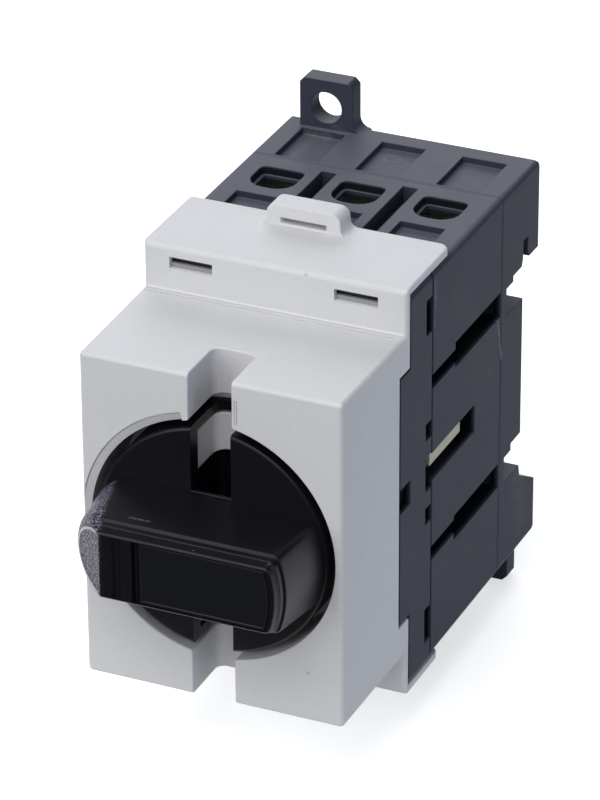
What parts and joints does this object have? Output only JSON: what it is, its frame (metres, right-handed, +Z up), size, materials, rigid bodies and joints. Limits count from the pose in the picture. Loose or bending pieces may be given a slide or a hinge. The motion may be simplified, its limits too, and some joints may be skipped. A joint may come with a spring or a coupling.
{
  "type": "din rail switch disconnector",
  "caption": "Rotary load switch for a DIN rail: a turning grip on a light front cover, a padlock channel behind it, wire clamps above and below, a sprung rail clip and fixing ears.",
  "frame": {"origin": "middle of the face at the back that sits on the rail", "axes": "+X to the right seen from the front, +Y from the front to the back into the rail, +Z up with the rail's length along X"},
  "size_m": [0.0353, 0.0735, 0.0684],
  "materials": {
    "light_grey_plastic": "fine matt moulding, light neutral grey",
    "dark_grey_plastic": "matt dark blue-grey moulding, lightly rubbed",
    "black_plastic": "satin black moulding",
    "black_label": "semi-gloss black insert",
    "cream_thermoset": "matt off-white moulding",
    "zinc_plated_steel": "zinc plated",
    "spring_steel": "drawn wire",
    "tinned_copper": "tinned copper"
  },
  "bodies": {
    "housing": {"base_housing": "dark_grey_plastic", "pole_housing": "dark_grey_plastic", "mechanism_housing": "dark_grey_plastic", "front_cover": "light_grey_plastic", "bearing_plate": "dark_grey_plastic", "terminal_bar_top_1": "tinned_copper", "terminal_bar_top_2": "tinned_copper", "terminal_bar_top_3": "tinned_copper", "terminal_bar_bottom_1": "tinned_copper", "terminal_bar_bottom_2": "tinned_copper", "terminal_bar_bottom_3": "tinned_copper", "toggle_spring_left": "spring_steel", "toggle_spring_right": "spring_steel", "rail_clip_spring": "spring_steel"},
    "rotor": {"knob": "black_plastic", "knob_label": "black_label", "spindle": "cream_thermoset"},
    "carrier": {"contact_carrier": "cream_thermoset", "contact_spring_1": "spring_steel", "contact_spring_2": "spring_steel", "contact_spring_3": "spring_steel"},
    "bridge_1": {"contact_bridge_1": "tinned_copper"},
    "bridge_2": {"contact_bridge_2": "tinned_copper"},
    "bridge_3": {"contact_bridge_3": "tinned_copper"},
    "clip": {"rail_clip": "black_plastic"},
    "screw_top_1": {"terminal_screw_top_1": "zinc_plated_steel"},
    "screw_top_2": {"terminal_screw_top_2": "zinc_plated_steel"},
    "screw_top_3": {"terminal_screw_top_3": "zinc_plated_steel"},
    "screw_bottom_1": {"terminal_screw_bottom_1": "zinc_plated_steel"},
    "screw_bottom_2": {"terminal_screw_bottom_2": "zinc_plated_steel"},
    "screw_bottom_3": {"terminal_screw_bottom_3": "zinc_plated_steel"},
    "cage_top_1": {"clamp_cage_top_1": "zinc_plated_steel"},
    "cage_top_2": {"clamp_cage_top_2": "zinc_plated_steel"},
    "cage_top_3": {"clamp_cage_top_3": "zinc_plated_steel"},
    "cage_bottom_1": {"clamp_cage_bottom_1": "zinc_plated_steel"},
    "cage_bottom_2": {"clamp_cage_bottom_2": "zinc_plated_steel"},
    "cage_bottom_3": {"clamp_cage_bottom_3": "zinc_plated_steel"}
  },
  "joints": [
    {"name": "knob_turn", "type": "hinge", "parent": "housing", "child": "rotor", "pos_m": [0, -0.0577, 0], "axis": [0, 1, 0], "range_deg": [0, 90], "deforming": ["toggle_spring_left", "toggle_spring_right"]},
    {"name": "carrier_slide", "type": "slide", "parent": "housing", "child": "carrier", "axis": [0, 1, 0], "range_m": [0, 0.0033]},
    {"name": "bridge_slide_1", "type": "slide", "parent": "carrier", "child": "bridge_1", "axis": [0, -1, 0], "range_m": [0, 0.0008], "stiffness_N_per_m": 80, "springref_m": -0.003, "deforming": ["contact_spring_1"]},
    {"name": "bridge_slide_2", "type": "slide", "parent": "carrier", "child": "bridge_2", "axis": [0, -1, 0], "range_m": [0, 0.0008], "stiffness_N_per_m": 80, "springref_m": -0.003, "deforming": ["contact_spring_2"]},
    {"name": "bridge_slide_3", "type": "slide", "parent": "carrier", "child": "bridge_3", "axis": [0, -1, 0], "range_m": [0, 0.0008], "stiffness_N_per_m": 80, "springref_m": -0.003, "deforming": ["contact_spring_3"]},
    {"name": "rail_clip_slide", "type": "slide", "parent": "housing", "child": "clip", "axis": [0, 0, -1], "range_m": [0, 0.003], "stiffness_N_per_m": 150, "springref_m": -0.004, "deforming": ["rail_clip_spring"]},
    {"name": "screw_turn_top_1", "type": "hinge", "parent": "housing", "child": "screw_top_1", "pos_m": [-0.0112, -0.036, 0.0229], "axis": [0, 1, 0], "range_deg": [0, 2880]},
    {"name": "screw_turn_top_2", "type": "hinge", "parent": "housing", "child": "screw_top_2", "pos_m": [0, -0.036, 0.0229], "axis": [0, 1, 0], "range_deg": [0, 2880]},
    {"name": "screw_turn_top_3", "type": "hinge", "parent": "housing", "child": "screw_top_3", "pos_m": [0.0112, -0.036, 0.0229], "axis": [0, 1, 0], "range_deg": [0, 2880]},
    {"name": "screw_turn_bottom_1", "type": "hinge", "parent": "housing", "child": "screw_bottom_1", "pos_m": [-0.0112, -0.036, -0.0229], "axis": [0, 1, 0], "range_deg": [0, 2880]},
    {"name": "screw_turn_bottom_2", "type": "hinge", "parent": "housing", "child": "screw_bottom_2", "pos_m": [0, -0.036, -0.0229], "axis": [0, 1, 0], "range_deg": [0, 2880]},
    {"name": "screw_turn_bottom_3", "type": "hinge", "parent": "housing", "child": "screw_bottom_3", "pos_m": [0.0112, -0.036, -0.0229], "axis": [0, 1, 0], "range_deg": [0, 2880]},
    {"name": "cage_slide_top_1", "type": "slide", "parent": "housing", "child": "cage_top_1", "axis": [0, -1, 0], "range_m": [0, 0.0048]},
    {"name": "cage_slide_top_2", "type": "slide", "parent": "housing", "child": "cage_top_2", "axis": [0, -1, 0], "range_m": [0, 0.0048]},
    {"name": "cage_slide_top_3", "type": "slide", "parent": "housing", "child": "cage_top_3", "axis": [0, -1, 0], "range_m": [0, 0.0048]},
    {"name": "cage_slide_bottom_1", "type": "slide", "parent": "housing", "child": "cage_bottom_1", "axis": [0, -1, 0], "range_m": [0, 0.0048]},
    {"name": "cage_slide_bottom_2", "type": "slide", "parent": "housing", "child": "cage_bottom_2", "axis": [0, -1, 0], "range_m": [0, 0.0048]},
    {"name": "cage_slide_bottom_3", "type": "slide", "parent": "housing", "child": "cage_bottom_3", "axis": [0, -1, 0], "range_m": [0, 0.0048]}
  ],
  "couplings": [
    {"joint": "knob_turn", "follows": "carrier_slide", "rad_per_m": 476},
    {"joint": "screw_turn_top_1", "follows": "cage_slide_top_1", "rad_per_m": 10472},
    {"joint": "screw_turn_top_2", "follows": "cage_slide_top_2", "rad_per_m": 10472},
    {"joint": "screw_turn_top_3", "follows": "cage_slide_top_3", "rad_per_m": 10472},
    {"joint": "screw_turn_bottom_1", "follows": "cage_slide_bottom_1", "rad_per_m": 10472},
    {"joint": "screw_turn_bottom_2", "follows": "cage_slide_bottom_2", "rad_per_m": 10472},
    {"joint": "screw_turn_bottom_3", "follows": "cage_slide_bottom_3", "rad_per_m": 10472}
  ]
}
